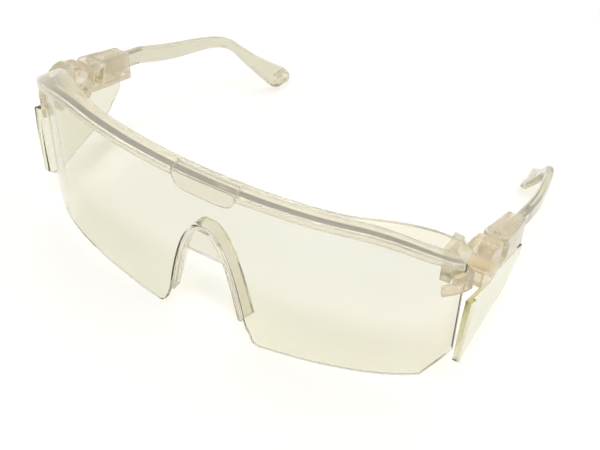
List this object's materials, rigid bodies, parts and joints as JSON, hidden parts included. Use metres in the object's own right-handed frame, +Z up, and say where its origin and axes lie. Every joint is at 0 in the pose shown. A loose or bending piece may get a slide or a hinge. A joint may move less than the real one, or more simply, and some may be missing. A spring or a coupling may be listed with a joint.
{
  "type": "safety glasses",
  "caption": "Clear wrap-round safety glasses worn over spectacles, with a brow frame, side shields, ratchet tilt corners and sliding, folding temple arms.",
  "frame": {"origin": "on the table, under the middle of the whole pair as it stands open on the lens's nose corners and the arm tips", "axes": "+X to the right as the pair is seen from in front, which is the side named right; +Y from the lens back along the arms; +Z up"},
  "size_m": [0.147, 0.1406, 0.0606],
  "materials": {
    "clear_polycarbonate": "clear, polished",
    "tinted_polycarbonate": "clear cream tint, moulded gloss"
  },
  "bodies": {
    "front": {"lens": "clear_polycarbonate", "brow_frame": "tinted_polycarbonate", "lens_latch": "tinted_polycarbonate", "nose_bridge": "tinted_polycarbonate", "left_lens_clip": "tinted_polycarbonate", "right_lens_clip": "tinted_polycarbonate", "left_tilt_pin": "tinted_polycarbonate", "right_tilt_pin": "tinted_polycarbonate"},
    "left_tilt": {"left_tilt_block": "tinted_polycarbonate", "left_hinge_pin": "tinted_polycarbonate"},
    "left_temple": {"left_temple_housing": "tinted_polycarbonate", "left_side_shield": "clear_polycarbonate", "left_length_catch": "tinted_polycarbonate"},
    "left_arm": {"left_temple_arm": "tinted_polycarbonate"},
    "right_tilt": {"right_tilt_block": "tinted_polycarbonate", "right_hinge_pin": "tinted_polycarbonate"},
    "right_temple": {"right_temple_housing": "tinted_polycarbonate", "right_side_shield": "clear_polycarbonate", "right_length_catch": "tinted_polycarbonate"},
    "right_arm": {"right_temple_arm": "tinted_polycarbonate"}
  },
  "joints": [
    {"name": "left_tilt", "type": "hinge", "parent": "front", "child": "left_tilt", "pos_m": [-0.0687, -0.03714, 0.04351], "axis": [1, 0, 0], "range_deg": [-10, 10]},
    {"name": "left_fold", "type": "hinge", "parent": "left_tilt", "child": "left_temple", "pos_m": [-0.0687, -0.02743, 0.04111], "axis": [0, -0.2394, -0.9709], "range_deg": [0, 92]},
    {"name": "left_length", "type": "slide", "parent": "left_temple", "child": "left_arm", "axis": [0, 0.9709, -0.2394], "range_m": [-0.0048, 0.0032]},
    {"name": "right_tilt", "type": "hinge", "parent": "front", "child": "right_tilt", "pos_m": [0.0687, -0.03714, 0.04351], "axis": [1, 0, 0], "range_deg": [-10, 10]},
    {"name": "right_fold", "type": "hinge", "parent": "right_tilt", "child": "right_temple", "pos_m": [0.0687, -0.02743, 0.04111], "axis": [0, 0.2394, 0.9709], "range_deg": [0, 84]},
    {"name": "right_length", "type": "slide", "parent": "right_temple", "child": "right_arm", "axis": [0, 0.9709, -0.2394], "range_m": [-0.0048, 0.0032]}
  ]
}
